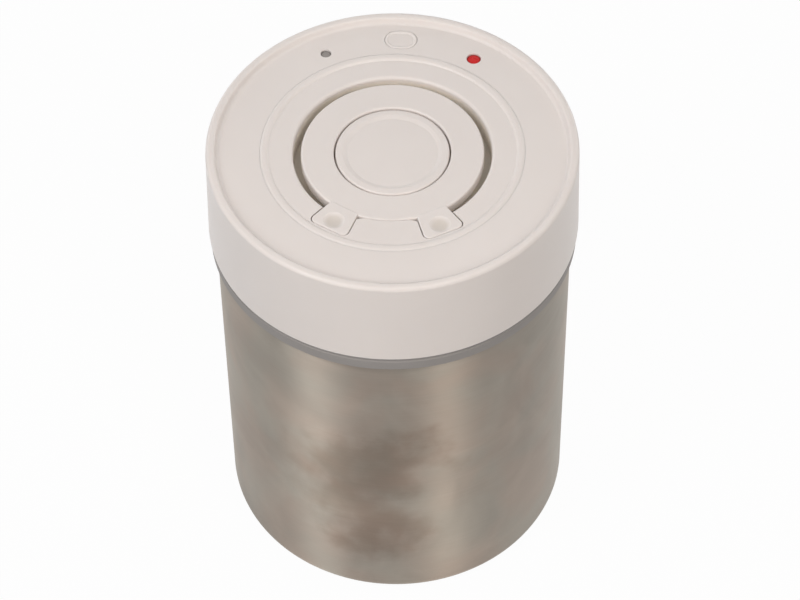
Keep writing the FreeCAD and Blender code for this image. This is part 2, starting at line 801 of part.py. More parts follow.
def make_release():
    skirt_bottom = f"({BUTTON_TOP} - button_skirt)"
    skirt_inner = "button_radius - button_skirt_wall"
    dish_floor = f"({BUTTON_TOP} - button_dish_depth)"
    corners = [
        ("0", BUTTON_UNDER),
        (skirt_inner, BUTTON_UNDER),
        (skirt_inner, skirt_bottom),
        ("button_radius", skirt_bottom),
        ("button_radius", BUTTON_TOP, "button_round"),
        ("button_dish_radius + button_dish_slope", BUTTON_TOP, "button_round"),
        ("button_dish_radius", dish_floor, "button_round"),
        ("0", dish_floor),
    ]
    node("release_button", revolved("button_cap", corners))
    poppet_under = f"({TRAY_BOTTOM} - poppet_wall)"
    foot = f"({poppet_under} - stem_foot_wall)"
    stem = [
        ("0", foot),
        ("stem_foot_radius", foot),
        ("stem_foot_radius", poppet_under),
        ("stem_radius", poppet_under),
        ("stem_radius", BUTTON_UNDER),
        ("0", BUTTON_UNDER),
    ]
    node("release_stem", revolved("stem", stem))
    poppet = [
        ("stem_radius + screw_fit", poppet_under),
        ("poppet_radius", poppet_under),
        ("poppet_radius", TRAY_BOTTOM),
        ("stem_radius + screw_fit", TRAY_BOTTOM),
    ]
    node("valve_poppet", revolved("poppet", poppet))
    spring = doc.addObject("Part::Feature", "spring")
    winding = [value(alias) for alias in ("spring_radius", "spring_wire", "spring_turns")]
    spring.Shape = coil("release_spring", *winding, value(f"{BUTTON_UNDER} - {WELL_FLOOR}"))
    place(spring, ("0", "0", WELL_FLOOR))
    node("release_spring", spring)


def make_start_key():
    middle = ("0", "start_circle")
    lip_top = f"({DISH_UNDER} - seat_gap)"
    lip_bottom = f"({lip_top} - start_lip_wall)"
    cap_height = "start_lip_wall + seat_gap + cover_wall + start_rise"
    cap = stadium("start_cap", "start_length", "start_width", middle, lip_bottom, cap_height)
    grown = ("start_length + 2 * start_lip", "start_width + 2 * start_lip")
    lip = stadium("start_lip_plate", *grown, middle, lip_bottom, "start_lip_wall")
    node("start_button", fused("start_key", [cap, lip]))
    pressed = f"({BOARD_TOP} + switch_height - 2 * start_travel)"
    case = box("switch_case", ("switch_side", "switch_side", "switch_height"), middle, BOARD_TOP)
    well = cylinder("switch_well", "plunger_radius + stem_fit", "switch_height",
                    (*middle, f"{pressed} - plunger_clear"))
    node("switch_body", cut("switch", case, [well]))
    bottom = f"({pressed} + start_travel)"
    rod = ("plunger_radius", f"{lip_bottom} - {bottom}", (*middle, bottom))
    node("switch_plunger", cylinder("plunger", *rod))


def make_lamps():
    leds = []
    bottom = f"({BOARD_TOP} + led_height + seat_gap)"
    lip_bottom = f"{DISH_UNDER} - lens_lip_wall"
    for side, label in (("right", "red_lens"), ("left", "grey_lens")):
        x, y = lens_place(SIDES[side])
        radius = label + "_radius"
        rod = cylinder(label + "_rod", radius, f"{DISH} - lens_sink - {bottom}", (x, y, bottom))
        lip = cylinder(label + "_lip", f"{radius} + lens_lip", "lens_lip_wall", (x, y, lip_bottom))
        node(label, fused(label + "_whole", [rod, lip]))
        leds.append(box(label + "_led", ("led_side", "led_side", "led_height"), (x, y), BOARD_TOP))
    node("indicator_leds", group("leds", leds))


def make_board():
    under = f"({BOARD_TOP} - board_wall)"
    below = f"({under} - cut_over)"
    through = "board_wall + 2 * cut_over"
    plate = sector("board_sector", "board_outer", "board_wall", "board_half_angle", "90", under)
    holes = [cylinder("board_core", "board_inner", through, ("0", "0", below))]
    screws = []
    for i, (x, y) in enumerate(standoff_places()):
        holes.append(cylinder(f"board_hole_{i}", "board_screw_radius + seat_gap", through, (x, y, below)))
        length = "board_wall + board_screw_bite"
        screws.append(screw(f"board_screw_{i}", "board_screw_radius", length, (x, y), under))
    node("control_board", cut("board", plate, holes))
    node("board_screws", group("board_screw_set", screws))


def bay_middle(side):
    return f"({side} * bay_offset)", "0"


def ear_places(side):
    x = bay_middle(side)[0]
    return [(x, "door_ear_offset"), (x, "(-door_ear_offset)")]


def bay_size(grow):
    """Plan size of a cell bay, widened all round."""
    return f"2 * ({BAY_HALF_WIDTH} + {grow})", f"2 * ({BAY_HALF_LENGTH} + {grow})"


def door_plate(name, side, grow, bottom, height):
    """The hatch's plan, with a screw ear at each end, widened all round."""
    size = (*bay_size(f"door_ledge + {grow}"), height)
    parts = [box(name + "_plate", size, bay_middle(side), bottom)]
    for i, ear in enumerate(ear_places(side)):
        parts.append(cylinder(f"{name}_ear_{i}", f"door_ear_radius + {grow}", height, (*ear, bottom)))
    return fused(name, parts)


def make_base():
    inner = f"{TRAY_RADIUS} - tray_wall"
    top = f"({LID_BOTTOM} + tray_flange)"
    flange = f"({SKIRT_INNER} - 2 * seat_gap)"
    corners = [
        ("0", TRAY_BOTTOM),
        (TRAY_RADIUS, TRAY_BOTTOM, "tray_round"),
        (TRAY_RADIUS, LID_BOTTOM),
        (flange, LID_BOTTOM),
        (flange, top),
        (inner, top),
        (inner, TRAY_TOP),
        ("0", TRAY_TOP),
    ]
    added = [revolved("tray", corners)]
    below = f"({TRAY_BOTTOM} - cut_over)"
    through = "tray_floor + 2 * cut_over"
    inlet = ("-port_spread", "pump_offset", below)
    tube = ("valve_bore + valve_tube_wall", "valve_tube_height", ("0", "0", TRAY_TOP))
    added.append(cylinder("valve_tube", *tube))
    holes = [
        cylinder("valve_hole", "valve_bore", f"{through} + valve_tube_height", ("0", "0", below)),
        cylinder("intake_hole", "port_radius", through, inlet),
        cylinder("filter_seat", "filter_radius + seat_gap", "filter_wall + cut_over", inlet),
        cylinder("sensor_hole", "port_radius / 2", through, ("0", "-sensor_offset", below)),
    ]
    sink = ("head_ratio * case_screw_radius + seat_gap", "case_screw_radius + sink_extra + cut_over")
    seat = f"({TRAY_BOTTOM} + case_screw_radius + sink_extra)"
    screws = []
    for i, (x, y) in enumerate(boss_places()):
        at = (x, y, below)
        holes.append(cylinder(f"case_hole_{i}", "case_screw_radius + seat_gap", through, at))
        holes.append(cylinder(f"case_sink_{i}", *sink, at))
        screws.append(screw(f"case_screw_{i}", "case_screw_radius", "case_screw_length", (x, y), seat))
    pilot = ("door_screw_radius + screw_fit", "door_screw_length + pilot_end")
    for name, side in SIDES.items():
        middle = bay_middle(side)
        added.append(box(f"bay_{name}", (*bay_size("bay_wall"), "bay_height"), middle, TRAY_TOP))
        space = (*bay_size("0"), f"bay_height + {through}")
        holes.append(box(f"bay_space_{name}", space, middle, below))
        holes.append(door_plate(f"door_seat_{name}", side, "door_gap", below, f"{SEAL_TOP} - {below}"))
        for i, ear in enumerate(ear_places(side)):
            boss = ("door_boss_radius", "door_screw_length", (*ear, TRAY_TOP))
            added.append(cylinder(f"door_boss_{name}_{i}", *boss))
            holes.append(cylinder(f"door_pilot_{name}_{i}", *pilot, (*ear, DOOR_TOP)))
    node("lid_base", cut("base", fused("base_added", added), holes))
    node("base_screws", group("case_screws", screws))


def make_hatches():
    seals = []
    screws = []
    below = f"({TRAY_BOTTOM} - cut_over)"
    seat = f"({TRAY_BOTTOM} + door_screw_radius)"
    rib_size = (f"2 * ({BAY_HALF_WIDTH} - rib_gap)", "door_rib_wall", f"{TRAY_TOP} - {DOOR_TOP}")
    sink = ("head_ratio * door_screw_radius + seat_gap", "door_screw_radius + cut_over")
    for name, side in SIDES.items():
        middle = bay_middle(side)
        parts = [door_plate(f"hatch_{name}", side, "0", TRAY_BOTTOM, "door_wall")]
        for i, sign in enumerate(SIDES.values()):
            at = (middle[0], f"({sign} * cell_length / 4)")
            parts.append(box(f"hatch_rib_{name}_{i}", rib_size, at, DOOR_TOP))
        holes = []
        for i, ear in enumerate(ear_places(side)):
            through = ("door_screw_radius + seat_gap", "door_wall + 2 * cut_over", (*ear, below))
            holes.append(cylinder(f"hatch_hole_{name}_{i}", *through))
            holes.append(cylinder(f"hatch_sink_{name}_{i}", *sink, (*ear, below)))
            fixing = ("door_screw_radius", "door_screw_length", ear, seat)
            screws.append(screw(f"door_screw_{name}_{i}", *fixing))
        whole = fused(f"hatch_{name}_whole", parts)
        node(f"battery_door_{name}", cut(f"hatch_{name}_cut", whole, holes))
        ring = box(f"seal_ring_{name}", (*bay_size("door_ledge"), "door_seal_wall"), middle, DOOR_TOP)
        gap = (*bay_size("0"), "3 * door_seal_wall")
        void = box(f"seal_void_{name}", gap, middle, f"{DOOR_TOP} - door_seal_wall")
        seals.append(cut(f"seal_{name}", ring, [void]))
    node("door_seals", group("seals", seals))
    node("door_screws", group("hatch_screws", screws))


def make_cells():
    cells = []
    plates = []
    springs = []
    plate_size = ("contact_width", "contact_wall", "contact_height")
    winding = ("contact_spring_radius", "contact_spring_wire", "contact_spring_turns")
    for bay, side in SIDES.items():
        for i, row in enumerate(SIDES.values()):
            x = f"({side} * bay_offset + {row} * cell_pitch / 2)"
            name = f"{bay}_{i}"
            can_start = f"(-{CELL_REACH})" if row == "1" else f"({CELL_REACH} - cell_length)"
            nub_start = f"({CELL_REACH} - nub_length)" if row == "1" else f"(-{CELL_REACH})"
            spring_start = f"(-{BAY_HALF_LENGTH} + contact_wall)" if row == "1" else CELL_REACH
            can = cylinder(f"cell_can_{name}", "cell_radius", "cell_length", (x, can_start, CELL_AXIS), "Y")
            nub = cylinder(f"cell_nub_{name}", "nub_radius", "nub_length", (x, nub_start, CELL_AXIS), "Y")
            cells.append(fused(f"cell_{name}", [can, nub]))
            for j, end in enumerate(SIDES.values()):
                at = (x, f"({end} * ({BAY_HALF_LENGTH} - contact_wall / 2))")
                plate = (plate_size, at, f"{CELL_AXIS} - contact_height / 2")
                plates.append(box(f"contact_{name}_{j}", *plate))
            spring = doc.addObject("Part::Feature", f"contact_spring_{name}")
            length = value("bay_end_gap - contact_wall")
            spring.Shape = coil(spring.Name, *[value(alias) for alias in winding], length)
            spring.Placement = FreeCAD.Placement(Vector(), TURN_TO["Y"])
            place(spring, (x, spring_start, CELL_AXIS))
            springs.append(spring)
    node("battery_cells", group("cells", cells))
    node("battery_contacts", group("contacts", plates))
    node("battery_springs", group("contact_springs", springs))


def pump_corners():
    return [
        (f"({i} * pump_screw_spread)", f"(pump_offset + {j} * pump_screw_spread)")
        for i in ("1", "-1")
        for j in ("1", "-1")
    ]


def pump_screw_holes(name, bottom, height):
    return [
        cylinder(f"{name}_hole_{i}", "pump_screw_radius + screw_fit", height, (*at, bottom))
        for i, at in enumerate(pump_corners())
    ]


def make_pump():
    middle = ("0", "pump_offset")
    square = ("pump_side", "pump_side")
    inlet = ("-port_spread", "pump_offset")
    outlet = ("port_spread", "pump_offset")
    chamber_floor = f"({BLOCK_TOP} - chamber_depth)"
    block = box("block", (*square, "pump_block_height"), middle, TRAY_TOP)
    outlet_axis = f"({TRAY_TOP} + (pump_block_height - chamber_depth) / 2)"
    holes = pump_screw_holes("block", f"{TRAY_TOP} + pump_screw_floor", "pump_block_height")
    chamber = ("chamber_radius", "chamber_depth + cut_over", (*middle, chamber_floor))
    holes += [
        cylinder("chamber", *chamber),
        cylinder("inlet", "port_radius", "pump_block_height", (*inlet, f"{TRAY_TOP} - cut_over")),
        cylinder("outlet_rise", "port_radius / 2", "pump_block_height", (*outlet, outlet_axis)),
        cylinder("outlet", "port_radius / 2", "pump_side", (*outlet, outlet_axis), "X"),
    ]
    node("pump_block", cut("block_cut", block, holes))
    flaps = [
        cylinder(f"flap_{i}", "flap_radius", "flap_wall", (*at, chamber_floor))
        for i, at in enumerate((inlet, outlet))
    ]
    node("valve_flaps", group("flaps", flaps))
    rubber = box("diaphragm_sheet", (*square, "diaphragm_wall"), middle, BLOCK_TOP)
    holes = pump_screw_holes("diaphragm", f"{BLOCK_TOP} - cut_over", "diaphragm_wall + 2 * cut_over")
    node("pump_diaphragm", cut("diaphragm", rubber, holes))
    case = box("housing_case", (*square, "housing_height"), middle, DIAPHRAGM_TOP)
    below = f"{DIAPHRAGM_TOP} - cut_over"
    space = ("housing_bore", "housing_height - housing_roof + cut_over", (*middle, below))
    holes = pump_screw_holes("housing", below, "housing_height + 2 * cut_over")
    holes.append(cylinder("housing_space", *space))
    nose = ("motor_boss_radius + seat_gap", "pump_side / 2", ("0", "pump_offset", MOTOR_AXIS), "Y")
    holes.append(cylinder("motor_hole", *nose))
    node("pump_housing", cut("housing", case, holes))
    length = "housing_height + diaphragm_wall + pump_block_height - pump_screw_short"
    screws = [
        screw(f"pump_screw_{i}", "pump_screw_radius", length, at, HOUSING_TOP, "-1")
        for i, at in enumerate(pump_corners())
    ]
    node("pump_screws", group("pump_screw_set", screws))
    make_drive(middle)
    node("intake_filter", cylinder("filter", "filter_radius", "filter_wall", (*inlet, TRAY_BOTTOM)))
    size = ("sensor_side", "sensor_side", "sensor_height")
    node("vacuum_sensor", box("sensor", size, ("0", "(-sensor_offset)"), TRAY_TOP))


def make_drive(middle):
    boss_length = "(pump_side / 2 - housing_bore)"
    boss_start = f"({MOTOR_FACE} - {boss_length})"
    at_crank = ("0", CRANK_FRONT, MOTOR_AXIS)
    parts = [
        cylinder("motor_can", "motor_radius", "motor_length", ("0", MOTOR_FACE, MOTOR_AXIS), "Y"),
        cylinder("motor_boss", "motor_boss_radius", boss_length, ("0", boss_start, MOTOR_AXIS), "Y"),
    ]
    bore = ("shaft_radius + shaft_fit", "shaft_length", ("0", f"{boss_start} - cut_over", MOTOR_AXIS), "Y")
    node("pump_motor", cut("motor", fused("motor_whole", parts), [cylinder("motor_bore", *bore)]))
    node("motor_shaft", cylinder("shaft", "shaft_radius", "shaft_length", at_crank, "Y"))
    disc = cylinder("crank_disc", "crank_radius", "crank_wall", at_crank, "Y")
    hub = cylinder("crank_bore", "shaft_radius + screw_fit", "crank_wall + cut_over", at_crank, "Y")
    pin_place = ("crank_throw", f"{CRANK_FRONT} - crank_pin_length", MOTOR_AXIS)
    pin = cylinder("crank_pin", "crank_pin_radius", "crank_pin_length", pin_place, "Y")
    node("pump_crank", fused("crank", [cut("crank_rim", disc, [hub]), pin]))
    yoke_size = ("yoke_width", "yoke_wall", "yoke_height")
    plate = box("yoke_plate", yoke_size, middle, f"{MOTOR_AXIS} - yoke_height / 2")
    foot_height = "motor_lift - yoke_height / 2 + yoke_join"
    foot = cylinder("yoke_foot", "yoke_foot_radius", foot_height, (*middle, DIAPHRAGM_TOP))
    slot_width = "2 * (crank_pin_radius + crank_throw + yoke_clear)"
    slot_height = "2 * (crank_pin_radius + 2 * crank_throw + yoke_clear)"
    slot_size = (slot_width, "yoke_wall + 2 * cut_over", slot_height)
    slot = box("yoke_slot", slot_size, middle, f"{MOTOR_AXIS} - ({slot_height}) / 2")
    node("pump_yoke", cut("yoke", fused("yoke_whole", [plate, foot]), [slot]))


make_can()
make_gasket()
make_cover()
make_panel()
make_handle()
make_release()
make_start_key()
make_lamps()
make_board()
make_base()
make_hatches()
make_cells()
make_pump()
doc.recompute()

faults = [obj.Name for obj in doc.Objects if "Invalid" in obj.State or "Error" in obj.State]
faults += [obj.Label for obj in nodes if obj.Shape.isNull() or not obj.Shape.isValid()]
if faults:
    raise SystemExit(f"failed: {faults}")
os.makedirs("parts", exist_ok=True)
for obj in nodes:
    obj.Shape.exportStep(f"parts/{obj.Label}.step")
    print(f"{obj.Label:22s} solids {len(obj.Shape.Solids)} volume {obj.Shape.Volume:10.1f}")
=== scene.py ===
# %% [markdown]
# A kitchen canister that pumps its own vacuum: a brushed steel can, a pale moulded lid with the
# pump inside it, a fold-up ring handle in the lid's middle and an air release button inside the
# ring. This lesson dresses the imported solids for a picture. Places and outer sizes come from the
# solids' boxes, and small sizes that a box can't give are named here. Tints and lamps were chosen
# by setting renders beside the picture.

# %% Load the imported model
import math

import bmesh
import bpy
import numpy as np
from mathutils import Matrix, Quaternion, Vector


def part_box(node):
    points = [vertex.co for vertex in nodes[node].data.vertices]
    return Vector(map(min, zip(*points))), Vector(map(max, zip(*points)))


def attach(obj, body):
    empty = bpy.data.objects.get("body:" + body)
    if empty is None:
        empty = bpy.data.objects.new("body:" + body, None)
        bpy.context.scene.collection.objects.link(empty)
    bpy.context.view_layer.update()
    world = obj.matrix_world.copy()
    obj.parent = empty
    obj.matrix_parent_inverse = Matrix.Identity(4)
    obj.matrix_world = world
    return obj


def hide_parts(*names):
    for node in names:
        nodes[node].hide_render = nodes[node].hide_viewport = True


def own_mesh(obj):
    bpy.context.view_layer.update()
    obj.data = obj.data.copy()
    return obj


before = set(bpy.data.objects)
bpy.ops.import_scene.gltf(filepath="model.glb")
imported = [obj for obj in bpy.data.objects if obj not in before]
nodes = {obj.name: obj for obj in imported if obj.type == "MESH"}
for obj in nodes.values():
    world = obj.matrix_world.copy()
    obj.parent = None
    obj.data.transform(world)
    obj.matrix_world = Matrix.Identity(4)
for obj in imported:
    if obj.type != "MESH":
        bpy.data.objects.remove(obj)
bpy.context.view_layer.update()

MM = 0.001

# %% [markdown]
# The camera looks down on the lid from a little to the right of the front, with a long lens. Its
# place could be tried out by hand. Here it is worked out from a few measures of the picture: the
# lens in pixels, the distance, the height that the lens aims at, and a slight roll.

# %% Place the camera
PICTURE_WIDTH = 800
LENS_PIXELS = 3102.8
AIM_PIXEL = 394.8
AIM_HEIGHT = 95.27 * MM
CAMERA_DISTANCE = 1143.3 * MM
CAMERA_TURN = math.radians(4.0)
CAMERA_RISE = math.radians(50.63)
CAMERA_ROLL = math.radians(-0.92)


def heading(turn, rise):
    """The unit vector out from the middle at a turn from the front, towards +X, and a rise."""
    flat = math.cos(rise)
    return Vector((math.sin(turn) * flat, -math.cos(turn) * flat, math.sin(rise)))


def aimed(obj, place, target):
    """Puts a lamp or camera at a place, looking at a target."""
    obj.location = place
    obj.rotation_mode = "QUATERNION"
    obj.rotation_quaternion = (target - place).to_track_quat("-Z", "Y")
    bpy.context.scene.collection.objects.link(obj)
    return obj


lens = bpy.data.cameras.new("photo_camera")
lens.lens = lens.sensor_width * LENS_PIXELS / PICTURE_WIDTH
lens.shift_x = (PICTURE_WIDTH / 2 - AIM_PIXEL) / PICTURE_WIDTH
aim = Vector((0, 0, AIM_HEIGHT))
camera = bpy.data.objects.new("photo_camera", lens)
aimed(camera, aim + heading(CAMERA_TURN, CAMERA_RISE) * CAMERA_DISTANCE, aim)
camera.rotation_quaternion = camera.rotation_quaternion @ Quaternion((0, 0, 1), CAMERA_ROLL)
bpy.context.scene.camera = camera
print("lens in mm", round(lens.lens, 1), "camera at", [round(c, 3) for c in camera.location])

# %% [markdown]
# Materials are small trees of shader nodes. Writing every node in full takes many lines, so one
# helper feeds a node's inputs, and another adds a node with its options and inputs in one call.

# %% Helpers for shader trees


def feed(tree, made, **inputs):
    """Sets or links inputs: a value, or another node's output. i0 and i1 count inputs by place."""
    for key, value in inputs.items():
        place = int(key[1:]) if key[1:].isdigit() else key.replace("_", " ")
        if isinstance(value, bpy.types.NodeSocket):
            tree.links.new(value, made.inputs[place])
        else:
            made.inputs[place].default_value = value


def put(tree, kind, options=None, **inputs):
    """Adds one shader node, sets its options and feeds its inputs."""
    made = tree.nodes.new("ShaderNode" + kind)
    for key, value in (options or {}).items():
        setattr(made, key, value)
    feed(tree, made, **inputs)
    return made


def shade(value):
    """A grey, or three numbers, as the four that a colour socket takes."""
    return (value, value, value, 1.0) if isinstance(value, (int, float)) else (*value, 1.0)


def fresh_material(name):
    """A new material, its tree and its main shader."""
    made = bpy.data.materials.new(name)
    made.use_nodes = True
    return made, made.node_tree, made.node_tree.nodes["Principled BSDF"]


# %% [markdown]
# The picture has a plain white ground. More light would wash out the pale lid, so the ground only
# looks white: for rays from the camera, and for those that a shiny or clear surface sends on, the
# world and most of the floor glow with a strength of one. All other rays see a softer room.

# %% Make the white room
ROOM_LIGHT = 0.44
FLOOR_HALF = 3.0
FLOOR_DROP = 0.2 * MM
FLOOR_GLOW = 0.97
FLOOR_PAINT = 0.6


def seen_rays(tree):
    """1 for camera, glossy and transmission rays, 0 for the rest."""
    path = put(tree, "LightPath")
    both = put(tree, "Math", {"operation": "MAXIMUM"}, i0=path.outputs["Is Camera Ray"],
               i1=path.outputs["Is Glossy Ray"])
    return put(tree, "Math", {"operation": "MAXIMUM"}, i0=both.outputs[0],
               i1=path.outputs["Is Transmission Ray"]).outputs[0]


room = bpy.data.worlds.new("white_room")
room.use_nodes = True
room.node_tree.nodes.clear()
glow = put(room.node_tree, "MapRange", Value=seen_rays(room.node_tree), To_Min=ROOM_LIGHT)
air = put(room.node_tree, "Background", Color=shade(1.0), Strength=glow.outputs[0])
put(room.node_tree, "OutputWorld", Surface=air.outputs[0])
bpy.context.scene.world = room

sheet = bpy.data.materials.new("floor_paint")
sheet.use_nodes = True
sheet.node_tree.nodes.clear()
share = put(sheet.node_tree, "MapRange", Value=seen_rays(sheet.node_tree), To_Max=FLOOR_GLOW)
paint = put(sheet.node_tree, "BsdfDiffuse", Color=shade(FLOOR_PAINT))
light = put(sheet.node_tree, "Emission", Color=shade(1.0))
ground = put(sheet.node_tree, "MixShader", Fac=share.outputs[0], i1=paint.outputs[0],
             i2=light.outputs[0])
put(sheet.node_tree, "OutputMaterial", Surface=ground.outputs[0])

corner = np.array([(-1, -1), (1, -1), (1, 1), (-1, 1)]) * FLOOR_HALF
floor_mesh = bpy.data.meshes.new("floor")
floor_mesh.from_pydata(np.c_[corner, np.full(4, -FLOOR_DROP)].tolist(), [], [(0, 1, 2, 3)])
floor_mesh.materials.append(sheet)
floor = bpy.data.objects.new("floor", floor_mesh)
bpy.context.scene.collection.objects.link(floor)
bpy.context.scene.view_settings.view_transform = "Standard"
print("room light", ROOM_LIGHT, "floor side in m", 2 * FLOOR_HALF)

# %% [markdown]
# Two tall soft boxes stand left and right of the camera. They draw the two bright upright bands on
# the steel: the left one is neutral, the right one a little warm. Two low ones behind draw such
# bands for a viewer who walks round the back; from the front they hardly show.

# %% Hang the lamps
LAMP_DISTANCE = 1.1
WHITE = (1.0, 1.0, 1.0)
WARM_WHITE = (1.0, 0.94, 0.87)


def soft_box(name, turn, rise, width, height, watts, tint=WHITE):
    """A rectangular lamp, sized in metres, that faces the canister.

    It stands at a turn and a rise, in degrees, from the camera's side."""
    lamp = bpy.data.lights.new(name, "AREA")
    lamp.shape = "RECTANGLE"
    lamp.size, lamp.size_y = width, height
    lamp.energy, lamp.color = watts, tint
    place = aim + heading(CAMERA_TURN + math.radians(turn), math.radians(rise)) * LAMP_DISTANCE
    print(name, "at", [round(c, 2) for c in place])
    aimed(bpy.data.objects.new(name, lamp), place, aim)


soft_box("left_box", turn=-49, rise=45, width=0.26, height=0.8, watts=4.7)
soft_box("right_box", turn=30, rise=45, width=0.21, height=0.8, watts=3.6, tint=WARM_WHITE)
soft_box("back_left_box", turn=-145, rise=12, width=0.26, height=0.45, watts=1.3)
soft_box("back_right_box", turn=140, rise=12, width=0.26, height=0.45, watts=1.6)

# %% [markdown]
# Each new piece is a grid of points: a profile carried round an upright axis, or a ring of points
# carried along a wire. A Screw modifier could spin a profile, but a formula gives the points as one
# array, with a map of the surface for the brushing to follow. Pulling the two halves of a turned
# form apart along X gives it straight sides and round ends.

# %% Helpers for gridded surfaces
SEAM_GAP = 1e-7
SLIVER = 1e-8


def rounded(corners, steps=10, guard=0.12 * MM):
    """A profile through corners (r, z, round).

    Each round corner becomes an arc that touches both sides, with a guard point on either side of
    it, so that the flats next to it stay flat when they are shaded smooth."""
    places = np.array([c[:2] for c in corners], float)
    rounds = [c[2] if len(c) > 2 else 0.0 for c in corners]
    points = []
    for i, radius in enumerate(rounds):
        here, before, after = places[i], places[i - 1], places[(i + 1) % len(places)]
        if not radius:
            points.append(here[None])
            continue
        to_before = (before - here) / np.linalg.norm(before - here)
        to_after = (after - here) / np.linalg.norm(after - here)
        half = math.acos(np.clip(to_before @ to_after, -1, 1)) / 2
        reach = radius / math.tan(half)
        bisector = (to_before + to_after) / np.linalg.norm(to_before + to_after)
        middle = here + bisector * radius / math.sin(half)
        start, end = here + to_before * reach - middle, here + to_after * reach - middle
        sweep = math.pi - 2 * half
        t = np.linspace(0, 1, steps + 1)[:, None]
        blend = np.sin((1 - t) * sweep) * start + np.sin(t * sweep) * end
        arc = middle + blend / math.sin(sweep)
        points += [arc[:1] + to_before * guard, arc, arc[-1:] + to_after * guard]
    return np.concatenate(points)


def surface(name, points, quads, uv, sharp=35.0):
    """Puts arrays of points, quads and map corners into a mesh, and closes its seams and poles."""
    mesh = bpy.data.meshes.new(name)
    mesh.from_pydata(points.tolist(), [], quads.tolist())
    mesh.uv_layers.new(name="surface_map").data.foreach_set("uv", uv.astype(np.float32).ravel())
    work = bmesh.new()
    work.from_mesh(mesh)
    bmesh.ops.remove_doubles(work, verts=work.verts, dist=SEAM_GAP)
    bmesh.ops.dissolve_degenerate(work, edges=work.edges, dist=SLIVER)
    work.to_mesh(mesh)
    work.free()
    mesh.polygons.foreach_set("use_smooth", np.ones(len(mesh.polygons), bool))
    mesh.set_sharp_from_angle(angle=math.radians(sharp))
    piece = bpy.data.objects.new(name, mesh)
    bpy.context.scene.collection.objects.link(piece)
    print(name, "faces", len(mesh.polygons))
    return piece


def gridded(name, points, along):
    """Joins grids of points, an array (copies, rows, count, 3), into quads.

    Each row closes on itself. The map has a row's place along the profile or wire in u, and the
    share of the way round the row in v."""
    copies, rows, count = points.shape[:3]
    first = np.arange(copies)[:, None, None] * rows * count
    i, j = np.arange(rows - 1)[:, None], np.arange(count)
    here, after = first + i * count, (j + 1) % count
    quads = np.stack([here + j, here + after, here + count + after, here + count + j], -1)
    u = np.stack(np.broadcast_arrays(along[i], along[i], along[i + 1], along[i + 1], j)[:4], -1)
    v = np.stack(np.broadcast_arrays(j, j + 1, j + 1, j, i)[:4], -1) / count
    uv = np.repeat(np.stack([u, v], -1)[None], copies, axis=0)
    return surface(name, points.reshape(-1, 3), quads.reshape(-1, 4), uv.reshape(-1, 2))


def lengths(profile):
    """The length along a line of points, up to each of them."""
    return np.r_[0, np.cumsum(np.linalg.norm(np.diff(profile, axis=0), axis=1))]


def turned(name, profile, segments=256, middle=(0.0, 0.0), stretch=0.0):
    """Spins a profile about an upright axis: (r, z) at turn a goes to (r cos a, r sin a, z).

    A stretch is added to x on the half towards +X and taken from it on the other half. The profile
    runs from the axis back to the axis, anticlockwise seen with r to the right and z up, so that
    the faces point out."""
    half = np.linspace(-math.pi / 2, math.pi / 2, segments // 2 + 1)
    if not stretch:
        half = half[:-1]
    turn = np.r_[half, half + math.pi]
    pull = np.repeat([stretch, -stretch], len(half))
    spun = np.empty((len(profile), len(turn), 3))
    spun[..., 0] = middle[0] + pull + profile[:, :1] * np.cos(turn)
    spun[..., 1] = middle[1] + profile[:, :1] * np.sin(turn)
    spun[..., 2] = profile[:, 1:]
    return gridded(name, spun[None], lengths(profile))


# %% [markdown]
# The can is stainless steel with a satin finish: fine lines run round it, so highlights smear up
# and down, and handling leaves soft patches that look rosy or olive grey. Anisotropy in the shader
# gives the smear, with its direction taken from the surface map. Two cloudy noises give the small
# patches, a third, squeezed flat, gives the lines, and a short list of smudges darkens the wall:
# each is a ball of darker colour round a point on the wall, with a ragged edge. The smudges are
# partly marks where hands have held it and partly painted shade: the three at the front paint a
# darker reflection into the zone between the two lamp bands.
# The sides that turn away from the viewer look paler and less tinted, as under a thin clear film.
# A paler colour there would follow one viewer only, so the shader's coat layer does it.

# %% Brushed steel
CAN_RADIUS = 63.5 * MM
STEEL_ROSE = (0.333, 0.277, 0.231)
STEEL_OLIVE = (0.318, 0.285, 0.242)
FILM_SHARE = 0.4
FILM_ROUGHNESS = 0.4
NOISE_LOW, NOISE_HIGH = 0.3, 0.7
PATCH_SCALE = 30.0
PATCH_LEVELS = (0.88, 1.1)
BLUSH_SCALE = 36.0
BLUSH_SHIFT = (0.31, 0.17, 0.23)
BLUSH_BAND = (0.38, 0.62)
LINE_SQUEEZE = (25.0, 25.0, 2600.0)
LINE_ROUGHNESS = (0.55, 0.6)
LINE_DEPTH = 0.01 * MM
# Smudges: partly handling marks, partly painted shade that darkens the reflection between the lamp
# bands.
SMUDGE_AND_SHADE_TINT = (0.78, 0.715, 0.67)
SMUDGE_AND_SHADE_RAGGED = 50 * MM
SMUDGE_AND_SHADE_WAVER = 62.0
SMUDGE_AND_SHADE_CORE = 0.2
SMUDGES_AND_SHADE = [  # turn from the front in degrees, height and reach in mm
    (-12, 65, 31), (4, 82, 24), (-5, 37, 26), (150, 52, 26), (251, 84, 24),
]


